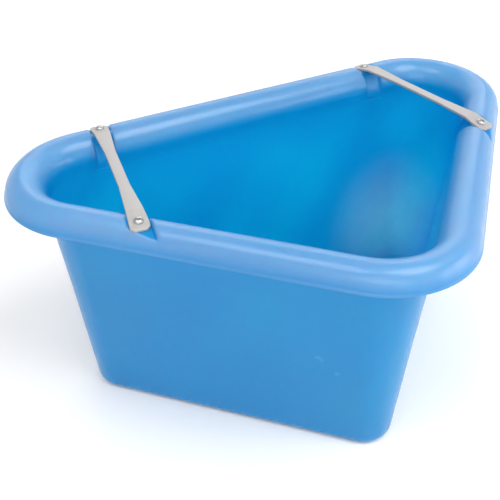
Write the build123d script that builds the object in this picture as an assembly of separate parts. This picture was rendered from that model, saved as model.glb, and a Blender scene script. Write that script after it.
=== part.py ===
"""Corner feed manger: a triangular plastic tub with a rolled rim and two bolted anti-waste bars.

Millimetres. +Z is up and the base stands on Z = 0. The long front side, which faces the animal, is
towards -Y. The right-angled corner, which goes into the corner of the stable, is towards +Y. The part
is mirror-symmetric about the YZ plane, and its origin is under the middle of its bounding box.
"""

import os
from math import cos, radians, sin, sqrt, tan

from build123d import *

os.makedirs("parts", exist_ok=True)

# ---- tub plan: a right-angled triangle with two equal legs, drawn on the crown line of the rim ----
front_length = 820.0        # crown line of the front side, between its sharp corners
acute_radius = 80.0         # crown line radius at the two 45 degree corners
square_radius = 83.0        # crown line radius at the 90 degree corner

# ---- tub height and walls ----
tub_height = 300.0          # base to crown
wall = 4.0                  # thickness of every wall
base_front_inset = 57.0     # crown line to the outside of the front wall, at the base
base_leg_inset = 40.0       # the same for the two walls along the legs
base_acute_radius = 33.0    # outside corner radii at the base
base_square_radius = 34.0
base_fillet = 12.0          # outside radius between the walls and the base

# ---- rolled rim, an upside-down channel made of two quarter ellipses ----
rim_outer_width = 20.0      # crown line to the outer skirt
rim_outer_drop = 24.4       # crown to the bottom of the skirt
rim_inner_width = 24.0      # crown line to the inside of the tub
rim_inner_drop = 30.0       # crown to the top of the flat walls
lip_height = 3.4            # small bead along the bottom of the skirt
lip_proud = 0.8

# ---- anti-waste bars: flat strip, waisted in the middle, with both ends cranked down ----
bar_thickness = 3.0
bar_end_width = 20.0
bar_waist_width = 12.0
bar_taper = 63.0            # from the screw to the start of the waist
bar_tip = 12.5              # from the screw to the end of the bar
bar_corner_cut = 4.0        # chamfer on each end corner
bar_crank_angle = 12.0      # slope of the two end tabs, in degrees
bar_crank_start = 16.0      # from the screw to the bend, measured level
bar_bend_radius = 12.0
front_screw_x = 185.4       # screws of the bars, on the front crown line
leg_screw_x = 215.0         # screws of the bars, on the crown line of each leg

# ---- moulded seats for the bar ends ----
seat_depth = 3.5            # crown to the seat, at the screw
seat_width = 23.0
seat_ramp_start = 8.0       # crown line to the top of the ramp down into the tub
seat_ramp_angle = 65.0      # slope of the ramp, in degrees
screw_hole_radius = 2.75

# ---- M5 fasteners ----
head_radius = 5.0
head_height = 3.7
shank_radius = 2.4
screw_length = 16.0
recess_width = 1.3
recess_length = 5.0
recess_depth = 2.3
washer_radius = 5.0
washer_bore_radius = 2.65
washer_thickness = 1.0
nut_flats = 8.0
nut_height = 5.0
nut_hex_height = 3.6
nut_bore_radius = 2.45
nut_collar_radius = 3.8
ring_radius = 3.2
ring_height = 1.1
ring_lip = 0.3              # metal rolled over the end of the nylon ring

# ---- worked out from the driving dimensions ----
half_front = front_length / 2
leg_distance = half_front / sqrt(2)
rim_reach = rim_outer_width + lip_proud
back_y = half_front + square_radius * (1 - sqrt(2)) + rim_reach
front_line_y = -(back_y - rim_reach) / 2
lip_z = tub_height - rim_outer_drop
wall_top_z = tub_height - rim_inner_drop
seat_z = tub_height - seat_depth


def corner_centres(front_inset, leg_inset, acute, square):
    """Centres of the left, right and square corner arcs of an outline moved in from the crown line."""
    acute_y = front_inset + acute
    acute_x = sqrt(2) * (leg_distance - leg_inset - acute) - acute_y
    square_y = sqrt(2) * (leg_distance - leg_inset - square)
    return (
        Vector(-acute_x, front_line_y + acute_y),
        Vector(acute_x, front_line_y + acute_y),
        Vector(0, front_line_y + square_y),
    )


def outline(z, front_inset, leg_inset, acute, square):
    """Closed triangle with rounded corners, as a face at height z."""
    left, right, back = corner_centres(front_inset, leg_inset, acute, square)
    arcs = [
        CenterArc(left, acute, 135, 135),
        CenterArc(right, acute, -90, 135),
        CenterArc(back, square, 45, 90),
    ]
    sides = [Line(arcs[i] @ 1, arcs[(i + 1) % 3] @ 0) for i in range(3)]
    return Pos(0, 0, z) * make_face(Curve() + arcs + sides)


def drafted_solid(z_low, z_high, growth):
    """The tub's outside between two heights, moved in by growth, with flat drafted walls."""
    low = outline(
        z_low,
        base_front_inset + growth,
        base_leg_inset + growth,
        base_acute_radius - growth,
        base_square_radius - growth,
    )
    top_inset = rim_inner_width - wall + growth
    high = outline(z_high, top_inset, top_inset, acute_radius - top_inset, square_radius - top_inset)
    return loft([low, high], ruled=True)


def round_base(solid, radius):
    """Rounds the edges round the lowest face."""
    return fillet(solid.faces().sort_by(Axis.Z)[0].edges(), radius)


def run_round_crown_line(section):
    """Carries a section, drawn with X outwards and Y up, once round the crown line."""
    left, right, back = corner_centres(0, 0, acute_radius, square_radius)
    corners = [(left, acute_radius, 135, 135), (right, acute_radius, 270, 135), (back, square_radius, 45, 90)]
    ring = Part()
    for i, (centre, radius, start, sweep_angle) in enumerate(corners):
        outwards = Vector(cos(radians(start)), sin(radians(start)))
        along = Vector(-outwards.Y, outwards.X)
        here = Plane(origin=centre + outwards * radius, x_dir=outwards, z_dir=along * -1)
        ring += revolve(here * section, Axis(centre, (0, 0, 1)), sweep_angle)
        end_angle = radians(start + sweep_angle)
        outwards = Vector(cos(end_angle), sin(end_angle))
        along = Vector(-outwards.Y, outwards.X)
        start_of_side = centre + outwards * radius
        next_centre, next_radius = corners[(i + 1) % 3][:2]
        side_length = (next_centre + outwards * next_radius - start_of_side).length
        here = Plane(origin=start_of_side, x_dir=outwards, z_dir=along * -1)
        ring += extrude(here * section, side_length, dir=along)
    return ring


def rim_curve(shrink):
    """The outer and inner quarter ellipses of the rim, moved in from its surface by shrink."""
    outer_size = (rim_outer_width - shrink, rim_outer_drop - shrink)
    inner_size = (rim_inner_width - shrink, rim_inner_drop - shrink)
    outer = EllipticalCenterArc((0, lip_z), *outer_size, 0, arc_size=90)
    inner = EllipticalCenterArc((0, wall_top_z), *inner_size, 90, arc_size=90)
    return [outer, inner]


def rim_section():
    """The rolled rim: a shell that follows the two ellipses, with a bead along its outer edge."""
    top = rim_curve(0)
    underside = rim_curve(wall)
    bead_top = (rim_outer_width * sqrt(1 - (lip_height / rim_outer_drop) ** 2), lip_z + lip_height)
    bead = [(rim_outer_width - wall, lip_z), (rim_reach, lip_z), (rim_reach, lip_z + 0.6 * lip_height), bead_top]
    foot = (wall - rim_inner_width, wall_top_z)
    shell = make_face(Curve() + top + underside + [
        Line((rim_outer_width - wall, lip_z), (rim_outer_width, lip_z)),
        Line(foot, (-rim_inner_width, wall_top_z)),
    ])
    return shell + make_face(Polyline(*bead, (rim_outer_width - wall / 2, lip_z + lip_height), close=True))


def filled_rim_section():
    """The rim with its channel filled in, down to where the seat ramps meet the walls."""
    slope = (base_leg_inset - rim_inner_width + wall) / wall_top_z
    ramp_foot_z = wall_top_z - rim_inner_drop
    ramp_foot = (-rim_inner_width - slope * rim_inner_drop, ramp_foot_z)
    shut = [
        Line((-rim_inner_width, wall_top_z), ramp_foot),
        Line(ramp_foot, (rim_outer_width, lip_z)),
    ]
    return make_face(Curve() + rim_curve(0) + shut)


class BarEnd:
    """One end of a bar: where its screw goes through the rim, and which way the rim and the bar run."""

    def __init__(self, screw, other_screw, rim_outwards):
        self.screw = Vector(screw.X, screw.Y, seat_z)
        self.inwards = (other_screw - screw).normalized()
        self.rim_outwards = rim_outwards
        slope = radians(bar_crank_angle)
        uphill = self.inwards * cos(slope) + Vector(0, 0, sin(slope))
        normal = Vector(0, 0, cos(slope)) - self.inwards * sin(slope)
        self.plane = Plane(origin=self.screw, x_dir=uphill, z_dir=normal)


def bar_ends(side):
    """The front and leg ends of the bar on one side: -1 is left and 1 is right."""
    front = Vector(side * front_screw_x, front_line_y)
    leg = Vector(side * leg_screw_x, front_line_y + half_front - leg_screw_x)
    leg_outwards = Vector(side, 1).normalized()
    return {
        "front": BarEnd(front, leg, Vector(0, -1)),
        "leg": BarEnd(leg, front, leg_outwards),
    }


def seat_pocket(end, growth):
    """The space that a bar end needs in the rim: a sloping seat, then a ramp down into the tub."""
    reach = 3 * rim_inner_width
    width = seat_width + 2 * growth
    above_seat = end.plane * Pos(reach / 2 - rim_reach, 0, reach / 2 - growth) * Box(reach, width, reach)
    ramp_slope = radians(seat_ramp_angle)
    downhill = Vector(cos(ramp_slope), -sin(ramp_slope))
    back = Vector(-sin(ramp_slope), -cos(ramp_slope)) * growth
    high = Vector(seat_ramp_start, seat_z + seat_ramp_start * tan(radians(bar_crank_angle))) + back
    low = high + downhill * reach
    wedge = Polyline(low, high, high + Vector(0, reach), low + Vector(reach, 2 * reach), low + Vector(reach, 0),
                     close=True)
    foot = Vector(end.screw.X, end.screw.Y)
    along_rim = Vector(-end.rim_outwards.Y, end.rim_outwards.X)
    across_rim = Plane(origin=foot, x_dir=end.rim_outwards * -1, z_dir=along_rim)
    if across_rim.y_dir.Z < 0:
        across_rim = Plane(origin=foot, x_dir=end.rim_outwards * -1, z_dir=along_rim * -1)
    ramp_space = extrude(across_rim * make_face(wedge), reach, both=True)
    slot = Plane(origin=foot, x_dir=end.inwards, z_dir=(0, 0, 1))
    slot_box = slot * Pos(reach / 2 - rim_reach, 0, seat_z) * Box(reach, width, 2 * reach)
    return above_seat + (ramp_space & slot_box)


def make_tub():
    """Rim, drafted walls and floor in one moulding, with the four seats and their screw holes."""
    outside = round_base(drafted_solid(0, wall_top_z, 0), base_fillet)
    inside = drafted_solid(0, wall_top_z, wall)
    inside = inside - Pos(0, 0, wall / 2) * Box(2 * front_length, 2 * front_length, wall)
    inside = round_base(inside, base_fillet - wall)
    tub = outside - inside + run_round_crown_line(rim_section())
    filled_rim = run_round_crown_line(filled_rim_section())
    for side in (-1, 1):
        for end in bar_ends(side).values():
            tub += seat_pocket(end, wall) & filled_rim
    for side in (-1, 1):
        for end in bar_ends(side).values():
            tub -= seat_pocket(end, 0)
            tub -= end.plane * Cylinder(screw_hole_radius, 6 * wall)
    return tub


def bar_side_profile(half_span):
    """One half of the bar seen from its edge, from the tip to the middle, resting on its seat."""
    slope = radians(bar_crank_angle)
    tip = Vector(-half_span - bar_tip * cos(slope), -bar_tip * sin(slope))
    bend = Vector(-half_span + bar_crank_start, bar_crank_start * tan(slope))
    thick_tip = Vector(-sin(slope), cos(slope)) * bar_thickness
    thick_bend = Vector(-tan(slope / 2), 1) * bar_thickness
    middle = Vector(0, bend.Y)
    points = [tip, bend, middle, middle + Vector(0, bar_thickness), bend + thick_bend, tip + thick_tip]
    return make_face(Polyline(*points, close=True))


def bar_plan(half_span):
    """The bar seen from above: full width at both ends, waisted between them, corners cut."""
    end = half_span + bar_tip
    full = bar_end_width / 2
    waist = bar_waist_width / 2
    quarter = [(0, waist), (half_span - bar_taper, waist), (half_span, full),
               (end - bar_corner_cut, full), (end, full - bar_corner_cut)]
    mirrored = [(-x, y) for x, y in reversed(quarter[1:])]
    top = mirrored + quarter
    bottom = [(x, -y) for x, y in reversed(top)]
    return make_face(Polyline(*top, *bottom, close=True))


def make_bar(ends):
    """A bar with its two ends on their seats, as one bent strip with two screw holes."""
    front, leg = ends["front"], ends["leg"]
    half_span = (leg.screw - front.screw).length / 2
    half_profile = bar_side_profile(half_span)
    profile = half_profile + mirror(half_profile, Plane.YZ)
    strip = extrude(Plane.XZ * profile, bar_end_width, both=True)
    bends = strip.edges().filter_by(Axis.Y).filter_by(
        lambda edge: abs(abs(edge.center().X) - half_span + bar_crank_start) < 1
    )
    strip = fillet(bends, bar_bend_radius)
    strip &= extrude(bar_plan(half_span), 10 * bar_thickness, both=True)
    middle = (front.screw + leg.screw) * 0.5
    bar = Plane(origin=middle, x_dir=front.inwards, z_dir=(0, 0, 1)) * strip
    for end in ends.values():
        bar -= end.plane * Cylinder(screw_hole_radius, 6 * bar_thickness)
    return bar


def make_screw(end):
    """Pan head screw with a cross recess, its head on the bar and its shank along the hole."""
    crown = ThreePointArc((0, head_height), (0.62 * head_radius, 0.78 * head_height), (head_radius, 1.2))
    edges = crown + Polyline(crown @ 1, (head_radius, 0), (0, 0), crown @ 0)
    head = revolve(Plane.XZ * make_face(edges), Axis.Z)
    shank = Pos(0, 0, -screw_length / 2) * Cylinder(shank_radius, screw_length)
    shank = chamfer(shank.edges().sort_by(Axis.Z)[0], 0.6)
    screw = head + shank
    recess_floor = head_height - recess_depth
    for turn in (0, 90):
        blade = Box(recess_length, recess_width, 2 * recess_depth)
        screw -= Pos(0, 0, recess_floor + recess_depth) * Rot(0, 0, 45 + turn) * blade
    return end.plane * Pos(0, 0, bar_thickness) * screw


def make_washer(end):
    """Flat washer against the underside of the seat."""
    washer = Cylinder(washer_radius, washer_thickness) - Cylinder(washer_bore_radius, washer_thickness)
    return end.plane * Pos(0, 0, -wall - washer_thickness / 2) * washer


def nut_plane(end):
    """Plane on the washer's lower face, with Z pointing down the screw."""
    return end.plane * Pos(0, 0, -wall - washer_thickness) * Rot(180, 0, 0)


def make_nut(end):
    """Steel body of a lock nut: a hexagon, and a round collar that holds the nylon ring."""
    hexagon = RegularPolygon(nut_flats / 2, 6, major_radius=False)
    body = extrude(hexagon, nut_hex_height)
    body += Pos(0, 0, nut_height / 2) * Cylinder(nut_collar_radius, nut_height)
    body -= Cylinder(nut_bore_radius, 3 * nut_height)
    ring_top = nut_height - ring_lip
    body -= Pos(0, 0, ring_top - ring_height / 2) * Cylinder(ring_radius, ring_height)
    body -= Pos(0, 0, nut_height) * Cylinder(ring_radius - ring_lip, 2 * ring_lip)
    return nut_plane(end) * body


def make_nylon_ring(end):
    """Nylon ring inside the collar of the nut."""
    ring = Cylinder(ring_radius, ring_height) - Cylinder(nut_bore_radius, ring_height)
    return nut_plane(end) * Pos(0, 0, nut_height - ring_lip - ring_height / 2) * ring


nodes = {"tub": make_tub()}
for side, side_name in ((-1, "left"), (1, "right")):
    ends = bar_ends(side)
    nodes[f"bar_{side_name}"] = make_bar(ends)
    for place, end in ends.items():
        nodes[f"screw_{side_name}_{place}"] = make_screw(end)
        nodes[f"washer_{side_name}_{place}"] = make_washer(end)
        nodes[f"nut_{side_name}_{place}"] = make_nut(end)
        nodes[f"nylon_ring_{side_name}_{place}"] = make_nylon_ring(end)

for name, solid in nodes.items():
    export_step(solid, f"parts/{name}.step")
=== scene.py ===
"""Looks for the corner feed manger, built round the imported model. Metres, in the CAD's frame."""

import math

import bmesh
import bpy
import numpy as np
from mathutils import Matrix, Vector


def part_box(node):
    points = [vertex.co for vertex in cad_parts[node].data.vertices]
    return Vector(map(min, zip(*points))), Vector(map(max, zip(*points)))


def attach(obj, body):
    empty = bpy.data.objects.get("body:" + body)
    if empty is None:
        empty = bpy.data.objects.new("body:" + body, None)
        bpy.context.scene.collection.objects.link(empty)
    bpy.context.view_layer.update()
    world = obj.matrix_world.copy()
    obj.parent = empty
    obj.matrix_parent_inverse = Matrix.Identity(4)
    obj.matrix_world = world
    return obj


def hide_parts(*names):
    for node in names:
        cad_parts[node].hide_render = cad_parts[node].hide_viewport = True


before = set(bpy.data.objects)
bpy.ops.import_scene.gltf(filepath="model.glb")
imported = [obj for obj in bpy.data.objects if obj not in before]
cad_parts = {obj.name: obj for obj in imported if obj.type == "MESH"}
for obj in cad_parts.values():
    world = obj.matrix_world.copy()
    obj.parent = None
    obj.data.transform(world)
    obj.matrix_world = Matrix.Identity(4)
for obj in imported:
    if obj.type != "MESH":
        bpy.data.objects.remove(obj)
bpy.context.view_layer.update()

MM = 0.001

# ---- the tub, with the same driving dimensions as the CAD, in millimetres ----
ACUTE_RADIUS, SQUARE_RADIUS = 80.0, 83.0          # crown line corner radii
WALL = 4.0
WALL_BEND = 14.0                                  # height over which a wall bends from upright to its draft
BASE_FRONT_INSET, BASE_LEG_INSET = 57.0, 40.0     # crown line to the walls at the base
BASE_ACUTE_RADIUS, BASE_SQUARE_RADIUS = 33.0, 34.0
BASE_FILLET = 12.0
RIM_OUT, RIM_OUT_DROP = 20.0, 24.4                # outer quarter ellipse of the rim
RIM_IN, RIM_IN_DROP = 24.0, 30.0                  # inner quarter ellipse
LIP_PROUD = 0.8
LIP_TOP_ANGLE = 9.5                               # where the outer ellipse comes out of the lip, in degrees
RIPPLE = 0.22                                     # unevenness of the walls; they lose up to 3.2 times this

# ---- the strap seats pressed into the rim ----
SEAT_WIDTH = 23.0
SEAT_ROUND, UNDER_ROUND = 4.0, 2.0                # rounding of a seat's sides, above and on the underside
SIDE_ARC, SIDE_SLOPE = 0.97, 4.0                  # the rounding ends at this share and goes on this steeply
SIDE_BLEND, SEAT_EASE = 1.2, 0.8                  # smoothing at the foot and at the top of the sides
RAMP_START, RAMP_SLOPE = 8.0, math.radians(54.0)
RAMP_BLEND = 2.0                                  # smoothing between the seat and its ramp
RAMP_FOOT = 14.0                                  # extra drop of the ramp as it turns upright at the wall
SEAT_REACH = 60.0                                 # no seat lowers the tub further away than this

# ---- spacing of the tub's mesh ----
CORNER_STEP, WALL_STEP = 3.8, 7.5
SEAT_STEP, STEP_GROWTH = 1.1, 0.16                # steps at a seat, and how they grow with distance
FRONT_SEAT_SPAN, LEG_SEAT_SPAN = 26.0, 40.0       # fine stretch each side of a screw, along the rim
ROW_STEP, FINE_FROM = 12.5, 250.0                 # wall rows, and the height above which they lie closer

# ---- bars and fasteners ----
BAR_THICK, BAR_END, BAR_WAIST = 3.0, 20.0, 12.0
BAR_TAPER, BAR_TIP, BAR_CUT, BAR_EDGE = 63.0, 12.5, 4.0, 0.55
CRANK = math.radians(12.0)
CRANK_START, BEND_RADIUS = 16.0, 12.0
HOLE_RADIUS = 2.75
WASHER_THICK = 1.0
SHANK_LENGTH = 16.0
THREAD_PITCH, THREAD_ROOT, THREAD_DEPTH = 0.8, 2.02, 0.38
NUT_HALF_FLATS, NUT_COLLAR = 4.0, 3.75
SCREW_TURNS = {"left_front": 0.35, "left_leg": 1.1, "right_front": 0.2, "right_leg": 0.75}

# ---- scuffs of the tub, its painted sheen and painted pool of light, its floor tone and glow ----
SHEEN_HEIGHTS = (272.0, 293.0)                   # heights between which the rim turns paler with a painted sheen
SHEENLESS_DEPTHS = (0.3, 2.5)                      # depths between which a seat loses the painted sheen
FLOOR_HEIGHTS = (4.5, 14.0)                       # heights between which the inner floor's tone fades
# share of the painted sheen's tint on the lip: a painted highlight line along it
LIP_HIGHLIGHT_SHARE = 0.45
# painted pool of light low inside the acute corners: its middle, reach and fade
LIT_PATCH_PLACE, LIT_PATCH_REACH = np.array([208.0, -133.0, 64.0]), np.array([72.0, 70.0, 88.0])
LIT_PATCH_FADE = (0.1, 1.5)
SCUFFS = [((66.5, 113.5, 137.5), 5.0), ((63.5, 116.0, 134.5), 4.0), ((50.5, 127.5, 117.5), 4.5)]
SCUFF_WOBBLE = 6.0

low, high = (np.array(corner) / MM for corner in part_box("tub"))
TOP = high[2]
LIP_Z, WALL_TOP = TOP - RIM_OUT_DROP, TOP - RIM_IN_DROP
REACH = RIM_OUT + LIP_PROUD
FRONT_Y = low[1] + REACH
HALF_FRONT = high[1] - FRONT_Y - REACH + SQUARE_RADIUS * (math.sqrt(2) - 1)
LEG_DISTANCE = HALF_FRONT / math.sqrt(2)


# ------------------------------------------------------------------ mesh helpers
def new_object(name, mesh, material, replaces):
    """Links a finished mesh as a piece that rides on the only body."""
    piece = bpy.data.objects.new(name, mesh)
    bpy.context.scene.collection.objects.link(piece)
    mesh.materials.clear()
    mesh.materials.append(material)
    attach(piece, "root")
    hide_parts(*replaces)
    return piece


def grid_mesh(name, points, capped=True):
    """Mesh of a (rows, columns, 3) grid in millimetres that closes round its columns."""
    rows, columns = points.shape[:2]
    index = np.arange(rows * columns).reshape(rows, columns)
    after = np.roll(index, -1, axis=1)
    quads = np.stack([index[:-1], after[:-1], after[1:], index[1:]], axis=-1).reshape(-1, 4)
    faces = quads.tolist()
    if capped:
        faces.append(index[0][::-1].tolist())
        faces.append(index[-1].tolist())
    mesh = bpy.data.meshes.new(name)
    mesh.from_pydata((points.reshape(-1, 3) * MM).tolist(), [], faces)
    mesh.update()
    return mesh


def smooth_by_angle(mesh, degrees):
    """Smooth shading, with edges sharper than the angle kept crisp."""
    mesh.shade_smooth()
    mesh.set_sharp_from_angle(angle=math.radians(degrees))


def turned(profile, segments):
    """Grid of points of a profile of (radius, z) pairs that is turned about Z."""
    turn = np.linspace(0, 2 * math.pi, segments, endpoint=False)
    radius, height = np.array(profile, float).T[:, :, None]
    height = np.broadcast_to(height, (len(profile), segments))
    return np.stack([radius * np.cos(turn), radius * np.sin(turn), height], axis=-1)


def lathe(name, profile, segments):
    """Solid of revolution about Z from (radius, z) points, bottom to top."""
    return grid_mesh(name, turned(profile, segments))


def tube(name, outer, inner, segments):
    """Ring of revolution: the outer profile up, then the inner profile down, both (radius, z)."""
    mesh = grid_mesh(name, turned([*outer, *inner, outer[0]], segments), capped=False)
    weld(mesh)
    return mesh


def weld(mesh):
    """Merges vertices that lie on each other and points every face outwards."""
    work = bmesh.new()
    work.from_mesh(mesh)
    bmesh.ops.remove_doubles(work, verts=work.verts, dist=1e-7)
    bmesh.ops.recalc_face_normals(work, faces=work.faces)
    work.to_mesh(mesh)
    work.free()


def combine(mesh, other, operation):
    """Boolean of two closed meshes, as a new mesh."""
    weld(mesh)
    weld(other)
    first = bpy.data.objects.new("first", mesh)
    second = bpy.data.objects.new("second", other)
    for thing in (first, second):
        bpy.context.scene.collection.objects.link(thing)
    modifier = first.modifiers.new("cut", "BOOLEAN")
    modifier.operation, modifier.solver, modifier.object = operation, "EXACT", second
    result = bpy.data.meshes.new_from_object(first.evaluated_get(bpy.context.evaluated_depsgraph_get()))
    for thing in (first, second):
        bpy.data.objects.remove(thing)
    return result


# ------------------------------------------------------------------ where the bar ends are
class BarEnd:
    """One screw's place: the foot of the bar end, the bar's way in and the rim's way out."""

    def __init__(self, side, place):
        self.name = f"{side}_{place}"
        self.washer = self.middle(f"washer_{side}_{place}")
        other = self.middle(f"washer_{side}_{'leg' if place == 'front' else 'front'}")
        along = other - self.washer
        along[2] = 0
        self.inwards = along / np.linalg.norm(along)
        self.across = np.array([-self.inwards[1], self.inwards[0], 0.0])
        mirror = 1.0 if self.washer[0] > 0 else -1.0
        outwards = np.array([0.0, -1.0, 0.0]) if place == "front" else np.array([mirror, 1.0, 0.0])
        self.rim_outwards = outwards / np.linalg.norm(outwards)
        self.uphill = self.inwards * math.cos(CRANK) + np.array([0, 0, math.sin(CRANK)])
        self.normal = np.array([0, 0, math.cos(CRANK)]) - self.inwards * math.sin(CRANK)
        self.foot = self.washer + self.normal * (WALL + WASHER_THICK / 2)

    @staticmethod
    def middle(node):
        """Middle of a CAD node's box, in millimetres."""
        lowest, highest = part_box(node)
        return np.array((lowest + highest) / 2) / MM

    def matrix(self, lift, turn=0.0, flip=False):
        """Frame on the seat plane, moved lift millimetres along the screw."""
        x_axis, z_axis = Vector(self.uphill), Vector(self.normal)
        if flip:
            z_axis = -z_axis
        y_axis = z_axis.cross(x_axis)
        basis = Matrix((x_axis, y_axis, z_axis)).transposed().to_4x4()
        place = Vector(self.foot + self.normal * lift) * MM
        return Matrix.Translation(place) @ basis @ Matrix.Rotation(turn, 4, "Z")


ends = {(side, place): BarEnd(side, place) for side in ("left", "right") for place in ("front", "leg")}


# ------------------------------------------------------------------ tub surface
def corner_centres(rows):
    """Corner arc centres for each profile row; see profile_rows for what a row holds."""
    front, leg, acute, square = rows[:, 0], rows[:, 1], rows[:, 2], rows[:, 3]
    acute_y = front + acute
    acute_x = math.sqrt(2) * (LEG_DISTANCE - leg - acute) - acute_y
    square_y = math.sqrt(2) * (LEG_DISTANCE - leg - square)
    zero = np.zeros_like(acute_x)
    return {
        "right": np.stack([acute_x, acute_y], -1),
        "back": np.stack([zero, square_y], -1),
        "left": np.stack([-acute_x, acute_y], -1),
    }


def step_along(length, places, coarse):
    """Sample places on a stretch, dense near the seats (place, reach) and coarse elsewhere."""
    samples, s = [0.0], 0.0
    while s < length:
        gap = min((abs(s - place) - reach for place, reach in places), default=math.inf)
        s += min(coarse, SEAT_STEP + max(0.0, STEP_GROWTH * gap))
        samples.append(s)
    return np.array(samples[:-1]) / samples[-1]


def tub_columns():
    """Places round the crown line: corner before, corner after, share of the way, normal angle."""
    crown = corner_centres(np.array([[0, 0, ACUTE_RADIUS, SQUARE_RADIUS]]))
    radius = {"right": ACUTE_RADIUS, "back": SQUARE_RADIUS, "left": ACUTE_RADIUS}
    corners = [("right", -90, 45), ("back", 45, 135), ("left", 135, 270)]
    columns = []
    for i, (corner, start, stop) in enumerate(corners):
        length = math.radians(stop - start) * radius[corner]
        for share in step_along(length, [], CORNER_STEP):
            columns.append((corner, corner, 0.0, math.radians(start + share * (stop - start))))
        following = corners[(i + 1) % 3][0]
        outwards = np.array([math.cos(math.radians(stop)), math.sin(math.radians(stop))])
        begin = crown[corner][0] + radius[corner] * outwards
        finish = crown[following][0] + radius[following] * outwards
        along = (finish - begin) / np.linalg.norm(finish - begin)
        span = FRONT_SEAT_SPAN if outwards[1] < 0 else LEG_SEAT_SPAN
        seats = []
        for end in ends.values():
            if np.dot(end.rim_outwards[:2], outwards) > 0.9:
                seats.append((np.dot(end.foot[:2] - np.array([0, FRONT_Y]) - begin, along), span))
        for share in step_along(np.linalg.norm(finish - begin), seats, WALL_STEP):
            columns.append((corner, following, share, math.radians(stop)))
    return columns


def profile_rows():
    """Rows of the tub's section from the middle of the base, outside and over the rim, to the floor.

    Each row is (front inset, leg inset, acute radius, square radius, z, plan scale, which surface).
    """
    rows = []

    def rim_row(u, z, kind):
        rows.append((-u, -u, ACUTE_RADIUS + u, SQUARE_RADIUS + u, z, 1.0, kind))

    def wall_row(z, growth, kind, extra=0.0, scale=1.0):
        depth = WALL_TOP - z
        share = depth - WALL_BEND / 2 if depth > WALL_BEND else depth * depth / (2 * WALL_BEND)
        share /= WALL_TOP - WALL_BEND / 2
        top = RIM_IN - WALL + growth
        front = top + share * (BASE_FRONT_INSET + growth - top) + extra
        leg = top + share * (BASE_LEG_INSET + growth - top) + extra
        acute = (ACUTE_RADIUS - top) + share * (BASE_ACUTE_RADIUS - growth - ACUTE_RADIUS + top) - extra
        square = (SQUARE_RADIUS - top) + share * (BASE_SQUARE_RADIUS - growth - SQUARE_RADIUS + top) - extra
        rows.append((front, leg, acute, square, z, scale, kind))

    def ellipse(width, drop, centre_z, start, stop, step, kind):
        """Rim rows on a quarter ellipse; angle 0 is level and outwards, 90 is the crown."""
        count = max(2, int(abs(math.radians(stop - start)) * (width + drop) / 2 / step))
        for angle in np.radians(np.linspace(start, stop, count + 1)[:-1]):
            rim_row(width * math.cos(angle), centre_z + drop * math.sin(angle), kind)

    for scale in (0.004, 0.25, 0.5, 0.75, 0.9):
        wall_row(0.0, 0.0, "base", BASE_FILLET, scale)
    for angle in np.radians(np.linspace(90, 0, 9)[:-1]):
        wall_row(BASE_FILLET * (1 - math.sin(angle)), 0.0, "base", BASE_FILLET * (1 - math.cos(angle)))
    for z in (*np.arange(BASE_FILLET, FINE_FROM - 4, ROW_STEP), *np.arange(FINE_FROM - 2, WALL_TOP - 1, 3.0)):
        wall_row(z, 0.0, "under")
    ellipse(RIM_IN - WALL, RIM_IN_DROP - WALL, WALL_TOP, 180, 90, 2.6, "under")
    ellipse(RIM_OUT - WALL, RIM_OUT_DROP - WALL, LIP_Z, 90, 0, 2.6, "under")
    lip = [
        (RIM_OUT - WALL, 0.7), (RIM_OUT - WALL + 0.25, 0.2), (RIM_OUT - WALL + 0.8, 0.0),
        (RIM_OUT + 0.1, 0.0), (RIM_OUT + 0.5, 0.15), (RIM_OUT + 0.72, 0.42), (REACH, 0.8),
        (REACH, 1.5), (REACH - 0.1, 2.1), (REACH - 0.35, 2.7), (REACH - 0.7, 3.2),
    ]
    for u, z in lip:
        rim_row(u, LIP_Z + z, "lip")
    ellipse(RIM_OUT, RIM_OUT_DROP, LIP_Z, LIP_TOP_ANGLE, 90, 1.5, "top")
    ellipse(RIM_IN, RIM_IN_DROP, WALL_TOP, 90, 180, 1.4, "top")
    for z in (*np.arange(WALL_TOP, FINE_FROM + 2, -2.0), *np.arange(FINE_FROM, BASE_FILLET + 2, -ROW_STEP)):
        wall_row(z, WALL, "top")
    fillet = BASE_FILLET - WALL
    for angle in np.radians(np.linspace(0, 90, 7)):
        wall_row(WALL + fillet * (1 - math.sin(angle)), WALL, "floor", fillet * (1 - math.cos(angle)))
    for scale in (0.9, 0.75, 0.5, 0.25, 0.004):
        wall_row(WALL, WALL, "floor", fillet, scale)
    return rows


def tub_points(rows):
    """The tub's surface before its seats are pressed in, as a (rows, columns, 3) grid."""
    columns = tub_columns()
    centres = corner_centres(rows)
    radii = {"right": rows[:, 2], "back": rows[:, 3], "left": rows[:, 2]}
    plan = np.zeros((len(rows), len(columns), 2))
    for j, (before, after, share, angle) in enumerate(columns):
        outwards = np.array([math.cos(angle), math.sin(angle)])
        first = centres[before] + radii[before][:, None] * outwards
        second = centres[after] + radii[after][:, None] * outwards
        plan[:, j] = first * (1 - share) + second * share
    heart = np.array([0.0, 0.36 * HALF_FRONT])    # the base and the floor close round this place
    plan = heart + (plan - heart) * rows[:, 5][:, None, None]
    height = np.broadcast_to(rows[:, 4][:, None, None], plan.shape[:2] + (1,))
    points = np.concatenate([plan, height], axis=-1)
    points[..., 1] += FRONT_Y
    return points


def soft_min(a, b, k):
    """The lower of two surfaces, with the corner between them rounded over k millimetres."""
    overlap = np.clip(1 - np.abs(a - b) / k, 0, 1)
    return np.minimum(a, b) - overlap * overlap * k / 4


def smoothstep(value, start, stop):
    share = np.clip((value - start) / (stop - start), 0, 1)
    return share * share * (3 - 2 * share)


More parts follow.
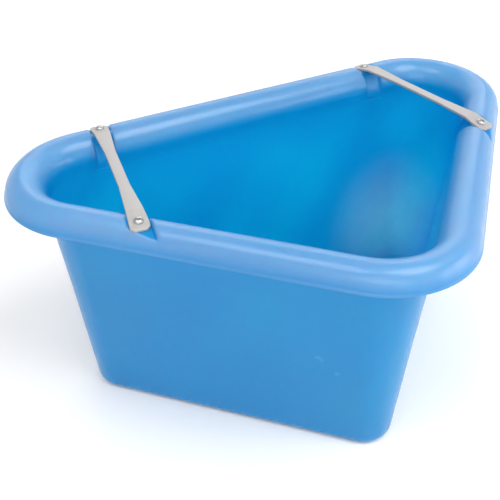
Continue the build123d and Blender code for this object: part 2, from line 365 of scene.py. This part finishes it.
def seat_depth(points, growth, rounding):
    """How far the four seats lower each point of a surface that lies growth below the seats."""
    lowered = np.zeros(points.shape[:2])
    for end in ends.values():
        offset = points - end.foot
        along = offset @ end.inwards
        across = np.abs(offset @ end.across)
        inside = -(offset @ end.rim_outwards)
        seat = end.foot[2] + along * math.tan(CRANK) - growth / math.cos(CRANK)
        ramp_top = end.foot[2] + RAMP_START * math.tan(CRANK)
        ramp = ramp_top - (inside - RAMP_START) * math.tan(RAMP_SLOPE) - growth / math.cos(RAMP_SLOPE)
        steepening = np.clip((inside + growth - RAMP_START) / (RIM_IN - RAMP_START), 0, 1)
        ramp -= RAMP_FOOT * (1 - np.sqrt(1 - steepening ** 2))
        depth = points[..., 2] - lowered - soft_min(seat, ramp, RAMP_BLEND) + SEAT_EASE / 2
        into = SEAT_WIDTH / 2 + growth + rounding - across
        arc = SIDE_ARC * rounding
        side = rounding - np.sqrt(rounding ** 2 - np.clip(into, 0, arc) ** 2)
        side += SIDE_SLOPE * np.clip(into - arc, 0, None)
        sink = soft_min(depth, side, SIDE_BLEND)
        eased = np.clip(sink, 0, None) ** 2 / (2 * SEAT_EASE)
        sink = np.where(sink < SEAT_EASE, eased, sink - SEAT_EASE / 2)
        near = (np.abs(along) < SEAT_REACH) & (across < SEAT_REACH)
        lowered += np.where(near, sink, 0.0)
    return lowered


def painted_light_and_glow_shares(points, kinds, lowered):
    """Shares from 0 to 1 that tell the material where the tub has its painted sheen, its painted pool of
    light, its floor tone, or no glow.
    """
    height = points[..., 2]
    inside = np.isin(kinds, ["top", "floor"])[:, None]
    lip = np.broadcast_to((kinds == "lip")[:, None], height.shape)
    # painted sheen: the rim top turns paler, standing in for the reflection of the bright surroundings; the
    # strap seats stay without it
    painted_sheen = smoothstep(height, *SHEEN_HEIGHTS) * (1 - smoothstep(lowered, *SHEENLESS_DEPTHS))
    resting = (1 - smoothstep(height, *FLOOR_HEIGHTS)) * inside
    painted_light_patch = np.zeros(height.shape)
    # painted pool of light, low inside each acute corner
    for mirror in (-1, 1):
        away = (points - LIT_PATCH_PLACE * (mirror, 1, 1)) / LIT_PATCH_REACH
        painted_light_patch = np.maximum(painted_light_patch, 1 - smoothstep(np.linalg.norm(away, axis=-1), *LIT_PATCH_FADE))
    return {
        # the lip gets a painted highlight line in the painted sheen's tint
        "painted_sheen": np.where(lip, LIP_HIGHLIGHT_SHARE, painted_sheen),
        "painted_light_patch": painted_light_patch * inside,
        "resting": resting,
        "opaque": np.maximum(resting, lip),
    }


def make_tub():
    rows = profile_rows()
    kinds = np.array([row[6] for row in rows])
    points = tub_points(np.array([row[:6] for row in rows]))
    top, under = kinds == "top", kinds == "under"
    lowered = np.zeros(points.shape[:2])
    lowered[top] = seat_depth(points[top], 0.0, SEAT_ROUND)
    points[..., 2] -= lowered
    points[under, :, 2] -= seat_depth(points[under], WALL, UNDER_ROUND)
    mesh = grid_mesh("tub_shell", points)
    for name, values in painted_light_and_glow_shares(points, kinds, lowered).items():
        layer = mesh.attributes.new(name, "FLOAT", "POINT")
        layer.data.foreach_set("value", values.reshape(-1).astype(np.float32))
    return mesh


def ripple_walls(mesh):
    """The faint unevenness of a moulding, always into the wall and so inside the CAD's box."""
    count = len(mesh.vertices)
    place, normal = np.zeros(count * 3), np.zeros(count * 3)
    mesh.vertices.foreach_get("co", place)
    mesh.vertices.foreach_get("normal", normal)
    place, normal = place.reshape(-1, 3), normal.reshape(-1, 3)
    x, y, z = place.T
    wave = np.sin(23 * x + 9 * z + 1.3) * np.sin(19 * y - 14 * z + 0.4)
    wave += 0.6 * np.sin(47 * x - 31 * y + 1.1) * np.sin(38 * z + 12 * x + 2.2)
    on_wall = np.clip((z - 0.010) / 0.03, 0, 1) * np.clip((0.268 - z) / 0.05, 0, 1)
    place -= normal * (RIPPLE * MM * (wave + 1.6) * on_wall)[:, None]
    mesh.vertices.foreach_set("co", place.reshape(-1))
    mesh.update()


# ------------------------------------------------------------------ bars
def bar_stations(half_span):
    """Sections of half a bar, from its middle: x, z, slope, and how much the tip's edge narrows it."""
    bend_radius = BEND_RADIUS + BAR_THICK / 2
    lead = bend_radius * math.tan(CRANK / 2)
    flat = half_span - CRANK_START - lead
    stations = [(x, 0.0, 0.0, 0.0) for x in np.linspace(0, flat, 30)[:-1]]
    for angle in np.linspace(0, CRANK, 9):
        drop = bend_radius * (1 - math.cos(angle))
        stations.append((flat + bend_radius * math.sin(angle), -drop, angle, 0.0))
    start_x, start_z = stations[-1][:2]
    tab_length = CRANK_START / math.cos(CRANK) + BAR_TIP - lead
    cut = tab_length - BAR_CUT
    runs = [(run, 0.0) for run in (*np.linspace(0, cut, 10)[1:], *(cut + np.linspace(0.5, 3.4, 6)))]
    for quarter in np.radians((0, 25, 50, 75, 90)):
        runs.append((tab_length - BAR_EDGE * (1 - math.sin(quarter)), BAR_EDGE * (1 - math.cos(quarter))))
    for run, shrink in runs:
        stations.append((start_x + run * math.cos(CRANK), start_z - run * math.sin(CRANK), CRANK, shrink))
    return stations


def bar_mesh(half_span):
    """A cranked, waisted strip with rounded edges. X along the bar, Z up, resting on its seats."""
    stations = bar_stations(half_span)
    mirrored = [(-x, z, -angle, shrink) for x, z, angle, shrink in reversed(stations[1:])]
    middle_z = CRANK_START * math.tan(CRANK) + BAR_THICK / 2
    cut_start = half_span + (BAR_TIP - BAR_CUT) * math.cos(CRANK)
    rows = []
    for x, z, angle, shrink in mirrored + stations:
        taper = np.clip((abs(x) - (half_span - BAR_TAPER)) / BAR_TAPER, 0, 1)
        width = BAR_WAIST / 2 + (BAR_END - BAR_WAIST) / 2 * taper
        width -= max(0.0, abs(x) - cut_start) + shrink
        corner = max(BAR_EDGE - shrink, 0.02)
        wide, tall = width - corner, BAR_THICK / 2 - shrink - corner
        ring = []
        for centre_y, centre_z, start in (
            (wide, tall, 0), (-wide, tall, 90), (-wide, -tall, 180), (wide, -tall, 270),
        ):
            for step in np.radians(start + np.array([0, 30, 60, 90])):
                y, w = centre_y + corner * math.cos(step), centre_z + corner * math.sin(step)
                ring.append((x + w * math.sin(angle), y, middle_z + z + w * math.cos(angle)))
        rows.append(ring)
    return grid_mesh("bar", np.array(rows)[::-1])


def hole_cutter(end, lift, half):
    """Cylinder on the screw's line, half its length each side of the lifted seat plane."""
    mesh = lathe("drill", [(HOLE_RADIUS, -half), (HOLE_RADIUS, half)], 40)
    mesh.transform(end.matrix(lift))
    return mesh


def make_bar(side, material):
    front, leg = ends[side, "front"], ends[side, "leg"]
    half_span = np.linalg.norm((leg.foot - front.foot)[:2]) / 2
    mesh = bar_mesh(half_span)
    x_axis, z_axis = Vector(front.inwards), Vector((0, 0, 1))
    basis = Matrix((x_axis, z_axis.cross(x_axis), z_axis)).transposed().to_4x4()
    mesh.transform(Matrix.Translation(Vector((front.foot + leg.foot) / 2) * MM) @ basis)
    for end in (front, leg):
        mesh = combine(mesh, hole_cutter(end, 0.0, 8.0), "DIFFERENCE")
    smooth_by_angle(mesh, 40)
    return new_object(f"bar_{side}_strip", mesh, material, [f"bar_{side}"])


# ------------------------------------------------------------------ fasteners
def recess_blade(turn):
    """One arm of the cross recess, narrower and shorter towards its foot."""
    rings = []
    for z, long, wide in ((1.35, 0.9, 0.42), (3.9, 2.75, 0.72)):
        rings.append([(long, wide, z), (-long, wide, z), (-long, -wide, z), (long, -wide, z)])
    mesh = grid_mesh("blade", np.array(rings))
    mesh.transform(Matrix.Rotation(turn, 4, "Z"))
    return mesh


def screw_head():
    """Domed pan head of an M5 screw, standing on z = 0, with its cross recess."""
    dome = [(4.75, 0.0), (4.93, 0.12), (5.0, 0.4), (4.98, 0.85)]
    for angle in np.radians(np.linspace(8, 87, 14)):
        dome.append((4.97 * math.cos(angle) ** 0.85, 0.85 + 2.68 * math.sin(angle)))
    dome.append((0.02, 3.53))
    head = lathe("head", dome, 64)
    for quarter in (0.0, math.pi / 2):
        head = combine(head, recess_blade(quarter + math.pi / 4), "DIFFERENCE")
    return head


def screw_shank():
    """Shank below z = 0 with a helical thread that runs out under the head and at the point."""
    turn = np.linspace(0, 2 * math.pi, 36, endpoint=False)
    rings = []
    for z in np.arange(-SHANK_LENGTH, 0.01, 0.1):
        phase = (z / THREAD_PITCH - turn / (2 * math.pi)) % 1.0
        ridge = np.clip(1.35 - np.abs(phase - 0.5) * 3.3, 0, 1)
        run_out = np.clip((-z - 0.4) / 0.6, 0, 1)
        point = np.clip((z + SHANK_LENGTH) / 0.7, 0, 1)
        radius = (THREAD_ROOT + THREAD_DEPTH * ridge * run_out) * (0.72 + 0.28 * point)
        rings.append(np.stack([radius * np.cos(turn), radius * np.sin(turn), np.full(turn.size, z)], -1))
    return grid_mesh("shank", np.array(rings))


def nut_mesh():
    """Hexagon lock nut, its nylon end upwards here: chamfered flats, round collar, rolled lip."""
    corner = NUT_HALF_FLATS / math.cos(math.pi / 6)
    body = lathe("hex", [(corner, 0.0), (corner, 3.7)], 6)
    chamfer = [(3.75, -0.01), (corner + 0.02, 0.52), (corner + 0.02, 3.2), (3.7, 3.71)]
    collar = [(NUT_COLLAR, 2.0), (NUT_COLLAR, 4.2), (3.68, 4.62), (3.45, 4.9), (3.2, 5.0), (2.92, 4.96)]
    bore = [(2.95, -0.02), (2.45, 0.42), (2.45, 3.58), (3.2, 3.6), (3.2, 4.72), (2.9, 4.74), (2.9, 5.1)]
    for name, profile, operation in (
        ("chamfer", chamfer, "INTERSECT"), ("collar", collar, "UNION"), ("bore", bore, "DIFFERENCE"),
    ):
        body = combine(body, lathe(name, profile, 72), operation)
    return body


def make_fasteners(steel, nylon_white):
    screw, nut = combine(screw_head(), screw_shank(), "UNION"), nut_mesh()
    washer = tube(
        "washer",
        [(2.7, 0.0), (4.85, 0.0), (4.97, 0.1), (5.0, 0.25), (5.0, 0.75), (4.97, 0.9), (4.85, 1.0)],
        [(2.8, 1.0), (2.68, 0.93), (2.65, 0.8), (2.65, 0.1)],
        64,
    )
    insert = tube(
        "insert",
        [(2.46, 3.62), (3.18, 3.62), (3.18, 4.7), (2.88, 4.7)],
        [(2.55, 4.66), (2.46, 4.5)],
        64,
    )
    for mesh in (screw, nut):
        smooth_by_angle(mesh, 32)
    for mesh in (washer, insert):
        smooth_by_angle(mesh, 35)
    below = -WALL - WASHER_THICK
    for end in ends.values():
        turn = SCREW_TURNS[end.name]
        parts = [
            ("screw", screw, end.matrix(BAR_THICK, turn), "fastener_steel", steel),
            ("washer", washer, end.matrix(below, turn), "fastener_steel", steel),
            ("nut", nut, end.matrix(below, turn, flip=True), "fastener_steel", steel),
            ("nylon_ring", insert, end.matrix(below, turn, flip=True), "nylon", nylon_white),
        ]
        for kind, mesh, matrix, slot_name, material in parts:
            copy = mesh.copy()
            copy.transform(matrix)
            new_object(f"{kind}_{end.name}_detail", copy, material, [f"{kind}_{end.name}"])


# ------------------------------------------------------------------ materials
TUB_BLUES = (0.0016, 0.186, 0.44, 1), (0.0028, 0.198, 0.46, 1)
SCUFF_TINT, SCUFF_SHARE = (0.14, 0.50, 0.85, 1), 0.16
# painted sheen: the tint and share range of the paler rim top
SHEEN_TINT, SHEEN_SHARES = (0.64, 0.52, 0.50, 1), (0.155, 0.20)
# painted pool of light: its pale tint and share range
LIT_PATCH_TINT, LIT_PATCH_SHARES = (0.95, 0.77, 1.0, 1), (0.25, 0.29)
FLOOR_TINT = (0.003, 0.37, 0.76, 1)
TUB_GLOW, GLOW_RADIUS, GLOW_SCALE = 0.85, (0.05, 0.8, 1.0), 0.026      # light inside the plastic


class Nodes:
    """Short-hand for building a node material."""

    def __init__(self, name):
        self.material = bpy.data.materials.new(name)
        self.material.use_nodes = True
        self.tree = self.material.node_tree
        self.shader = self.tree.nodes["Principled BSDF"]
        self.place = self.tree.nodes.new("ShaderNodeTexCoord").outputs["Object"]

    def add(self, kind, inputs=(), **settings):
        node = self.tree.nodes.new("ShaderNode" + kind)
        for key, value in settings.items():
            setattr(node, key, value)
        for key, value in dict(inputs).items():
            self.put(node.inputs[key], value)
        return node

    def put(self, socket, value):
        """Links a socket to another one, or sets it directly."""
        if isinstance(value, bpy.types.NodeSocket):
            self.tree.links.new(value, socket)
        else:
            socket.default_value = value

    def surface(self, name, value):
        self.put(self.shader.inputs[name], value)

    def noise(self, scale, detail=3.0, roughness=0.5):
        return self.add("TexNoise", {
            "Vector": self.place, "Scale": scale, "Detail": detail, "Roughness": roughness,
        }).outputs["Fac"]

    def painted(self, name):
        """A share that is stored on the mesh."""
        return self.add("Attribute", attribute_name=name).outputs["Fac"]

    def spread(self, value, low_in, high_in, low_out, high_out, smooth=False):
        node = self.add("MapRange", {
            "Value": value, "From Min": low_in, "From Max": high_in, "To Min": low_out, "To Max": high_out,
        })
        if smooth:
            node.interpolation_type = "SMOOTHSTEP"
        return node.outputs["Result"]

    def math(self, operation, a, b):
        return self.add("Math", {0: a, 1: b}, operation=operation).outputs[0]

    def vector(self, operation, a, b, output=0):
        return self.add("VectorMath", {0: a, 1: b}, operation=operation).outputs[output]

    def mix(self, share, a, b):
        return self.add("Mix", {"Factor": share, 6: a, 7: b}, data_type="RGBA").outputs[2]

    def bump(self, height, strength, distance, normal=None):
        inputs = {"Height": height, "Strength": strength, "Distance": distance}
        if normal is not None:
            inputs["Normal"] = normal
        return self.add("Bump", inputs).outputs["Normal"]


def scuff_share(n):
    """Small ragged marks; the wobble's noise averages a half, so the centres move by that."""
    wobble = n.add("TexNoise", {"Vector": n.place, "Scale": 260.0, "Detail": 2.0}).outputs["Color"]
    bent = n.vector("ADD", n.place, n.vector("MULTIPLY", wobble, (SCUFF_WOBBLE * MM,) * 3))
    share = 0.0
    for place, reach in SCUFFS:
        centre = tuple(MM * (number + SCUFF_WOBBLE / 2) for number in place)
        away = n.vector("DISTANCE", bent, centre, "Value")
        mark = n.spread(away, 0.1 * reach * MM, reach * MM, SCUFF_SHARE, 0.0, smooth=True)
        share = n.math("MAXIMUM", share, mark)
    return share


def tub_plastic():
    n = Nodes("tub_plastic")
    cloudy = n.noise(9.0, 4.0)
    colour = n.mix(n.spread(cloudy, 0.3, 0.7, 0.0, 1.0), *TUB_BLUES)
    colour = n.mix(scuff_share(n), colour, SCUFF_TINT)
    # painted sheen on the rim top, varied by the cloudy noise
    sheen_share = n.math("MULTIPLY", n.painted("painted_sheen"), n.spread(cloudy, 0.3, 0.7, *SHEEN_SHARES))
    colour = n.mix(sheen_share, colour, SHEEN_TINT)
    # painted pool of light: a pale patch low inside the acute corners
    light_patch = n.math("MULTIPLY", n.painted("painted_light_patch"), n.spread(n.noise(30.0), 0.3, 0.7, *LIT_PATCH_SHARES))
    colour = n.mix(light_patch, colour, LIT_PATCH_TINT)
    n.surface("Base Color", n.mix(n.painted("resting"), colour, FLOOR_TINT))
    n.surface("Roughness", n.spread(n.noise(45.0, 4.0), 0.3, 0.7, 0.21, 0.26))
    skin = n.bump(n.noise(260.0, 3.0), 0.10, 0.0006)
    n.surface("Normal", n.bump(n.noise(28.0, 2.0), 0.12, 0.0035, skin))
    n.surface("IOR", 1.5)
    n.surface("Specular IOR Level", 0.35)
    n.surface("Subsurface Weight", n.spread(n.painted("opaque"), 0.0, 1.0, TUB_GLOW, 0.0))
    n.surface("Subsurface Radius", GLOW_RADIUS)
    n.surface("Subsurface Scale", GLOW_SCALE)
    return n.material


def bar_steel():
    n = Nodes("bar_steel")
    cells = n.add("TexVoronoi", {"Vector": n.place, "Scale": 210.0, "Randomness": 1.0}).outputs["Color"]
    spangle = n.add("SeparateColor", {"Color": cells}).outputs["Red"]
    fine = n.noise(900.0, 4.0, 0.6)
    dull, bright, grain = (0.40, 0.385, 0.375, 1), (0.45, 0.44, 0.435, 1), (0.36, 0.36, 0.358, 1)
    colour = n.mix(n.spread(spangle, 0.0, 1.0, 0.0, 0.55), dull, bright)
    n.surface("Base Color", n.mix(n.spread(fine, 0.35, 0.7, 0.0, 0.4), colour, grain))
    n.surface("Metallic", 0.2)
    n.surface("Roughness", n.spread(spangle, 0.0, 1.0, 0.42, 0.56))
    n.surface("Normal", n.bump(fine, 0.12, 0.0004))
    return n.material


def fastener_steel():
    n = Nodes("fastener_steel")
    fine = n.noise(1400.0, 3.0)
    n.surface("Base Color", n.mix(fine, (0.42, 0.43, 0.44, 1), (0.52, 0.52, 0.51, 1)))
    n.surface("Metallic", 0.95)
    n.surface("Roughness", n.spread(fine, 0.3, 0.7, 0.24, 0.36))
    n.surface("Normal", n.bump(fine, 0.08, 0.0002))
    return n.material


def nylon():
    n = Nodes("nylon")
    cloudy = n.noise(500.0, 2.0)
    n.surface("Base Color", n.mix(cloudy, (0.80, 0.79, 0.73, 1), (0.87, 0.86, 0.82, 1)))
    n.surface("Roughness", n.spread(cloudy, 0.3, 0.7, 0.42, 0.52))
    return n.material


# ------------------------------------------------------------------ build
plastic, strip, zinc, white = tub_plastic(), bar_steel(), fastener_steel(), nylon()
shell = make_tub()
weld(shell)
ripple_walls(shell)
for bar_end in ends.values():
    shell = combine(shell, hole_cutter(bar_end, -WALL / 2, 4.0), "DIFFERENCE")
smooth_by_angle(shell, 40)
new_object("tub_shell", shell, plastic, ["tub"])
for bar_side in ("left", "right"):
    make_bar(bar_side, strip)
make_fasteners(zinc, white)


# ------------------------------------------------------------------ stage, light and camera, in metres
FLOOR_HALF, FLOOR_BELOW = 12.0, 0.0002
FLOOR_GLOW, FLOOR_GLOW_FROM, FLOOR_GLOW_TO = 0.5, 1.0, 4.0      # the far floor glows, to hide the horizon
SKY_LOW, SKY_HIGH = 1.1, 0.4                                    # brightness at the horizon and overhead
LIGHT_AIM = (0.0, 0.0, 0.25)
LIGHTS = [                                                      # name, place, size, brightness
    ("key", (-0.70, 1.32, 2.85), (1.6, 1.6), 6.5),
    ("side", (1.15, 0.42, 2.75), (1.3, 1.2), 5.0),
    ("front", (1.25, 2.35, 1.5), (2.2, 1.2), 2.6),
    ("right", (-1.75, 1.5, 0.65), (1.6, 1.0), 3.0),
    ("back", (-1.0, -1.9, 1.75), (2.3, 1.4), 1.6),
]
CAMERA_PLACE, CAMERA_FORWARD = (0.41184, 0.60405, 0.72989), (-0.37699, -0.70438, -0.60144)
CAMERA_LENS, CAMERA_SENSOR = 56.04, 36.0                        # millimetres


def floor_material():
    n = Nodes("floor")
    n.surface("Base Color", n.mix(n.noise(3.0), (0.90, 0.90, 0.90, 1), (0.92, 0.92, 0.92, 1)))
    n.surface("Roughness", 0.9)
    distance = n.add("VectorMath", {0: n.place}, operation="LENGTH").outputs["Value"]
    glow = n.spread(distance, FLOOR_GLOW_FROM, FLOOR_GLOW_TO, 0.0, FLOOR_GLOW, smooth=True)
    n.surface("Emission Color", (1, 1, 1, 1))
    n.surface("Emission Strength", glow)
    return n.material


def make_floor():
    mesh = bpy.data.meshes.new("floor")
    corners = [(x * FLOOR_HALF, y * FLOOR_HALF, 0) for x, y in ((-1, -1), (1, -1), (1, 1), (-1, 1))]
    mesh.from_pydata(corners, [], [(0, 1, 2, 3)])
    floor = bpy.data.objects.new("floor", mesh)
    floor.location.z = -FLOOR_BELOW
    bpy.context.scene.collection.objects.link(floor)
    mesh.materials.append(floor_material())


def soft_light(name, place, size, radiance):
    """Rectangular soft box of the given brightness, turned towards the manger."""
    data = bpy.data.lights.new(name, "AREA")
    data.shape, data.size, data.size_y = "RECTANGLE", size[0], size[1]
    data.energy = radiance * math.pi * size[0] * size[1]
    light = bpy.data.objects.new(name, data)
    light.location = place
    light.rotation_euler = (Vector(LIGHT_AIM) - Vector(place)).to_track_quat("-Z", "Y").to_euler()
    bpy.context.scene.collection.objects.link(light)


def studio_sky():
    """White surroundings, brighter at the horizon than overhead."""
    world = bpy.data.worlds.new("studio")
    world.use_nodes = True
    tree = world.node_tree
    direction = tree.nodes.new("ShaderNodeTexCoord").outputs["Generated"]
    height = tree.nodes.new("ShaderNodeSeparateXYZ")
    tree.links.new(direction, height.inputs[0])
    strength = tree.nodes.new("ShaderNodeMapRange")
    for name, value in (("From Min", 0.0), ("From Max", 0.7), ("To Min", SKY_LOW), ("To Max", SKY_HIGH)):
        strength.inputs[name].default_value = value
    tree.links.new(height.outputs["Z"], strength.inputs["Value"])
    background = tree.nodes["Background"]
    background.inputs["Color"].default_value = (1, 1, 1, 1)
    tree.links.new(strength.outputs["Result"], background.inputs["Strength"])
    bpy.context.scene.world = world


def make_camera():
    data = bpy.data.cameras.new("camera")
    data.lens, data.sensor_width = CAMERA_LENS, CAMERA_SENSOR
    data.clip_start, data.clip_end = 0.05, 60.0
    camera = bpy.data.objects.new("camera", data)
    camera.location = CAMERA_PLACE
    camera.rotation_euler = Vector(CAMERA_FORWARD).to_track_quat("-Z", "Y").to_euler()
    bpy.context.scene.collection.objects.link(camera)
    bpy.context.scene.camera = camera


make_floor()
studio_sky()
for light_name, light_place, light_size, brightness in LIGHTS:
    soft_light(light_name, light_place, light_size, brightness)
bpy.context.scene.view_settings.view_transform = "Standard"
make_camera()
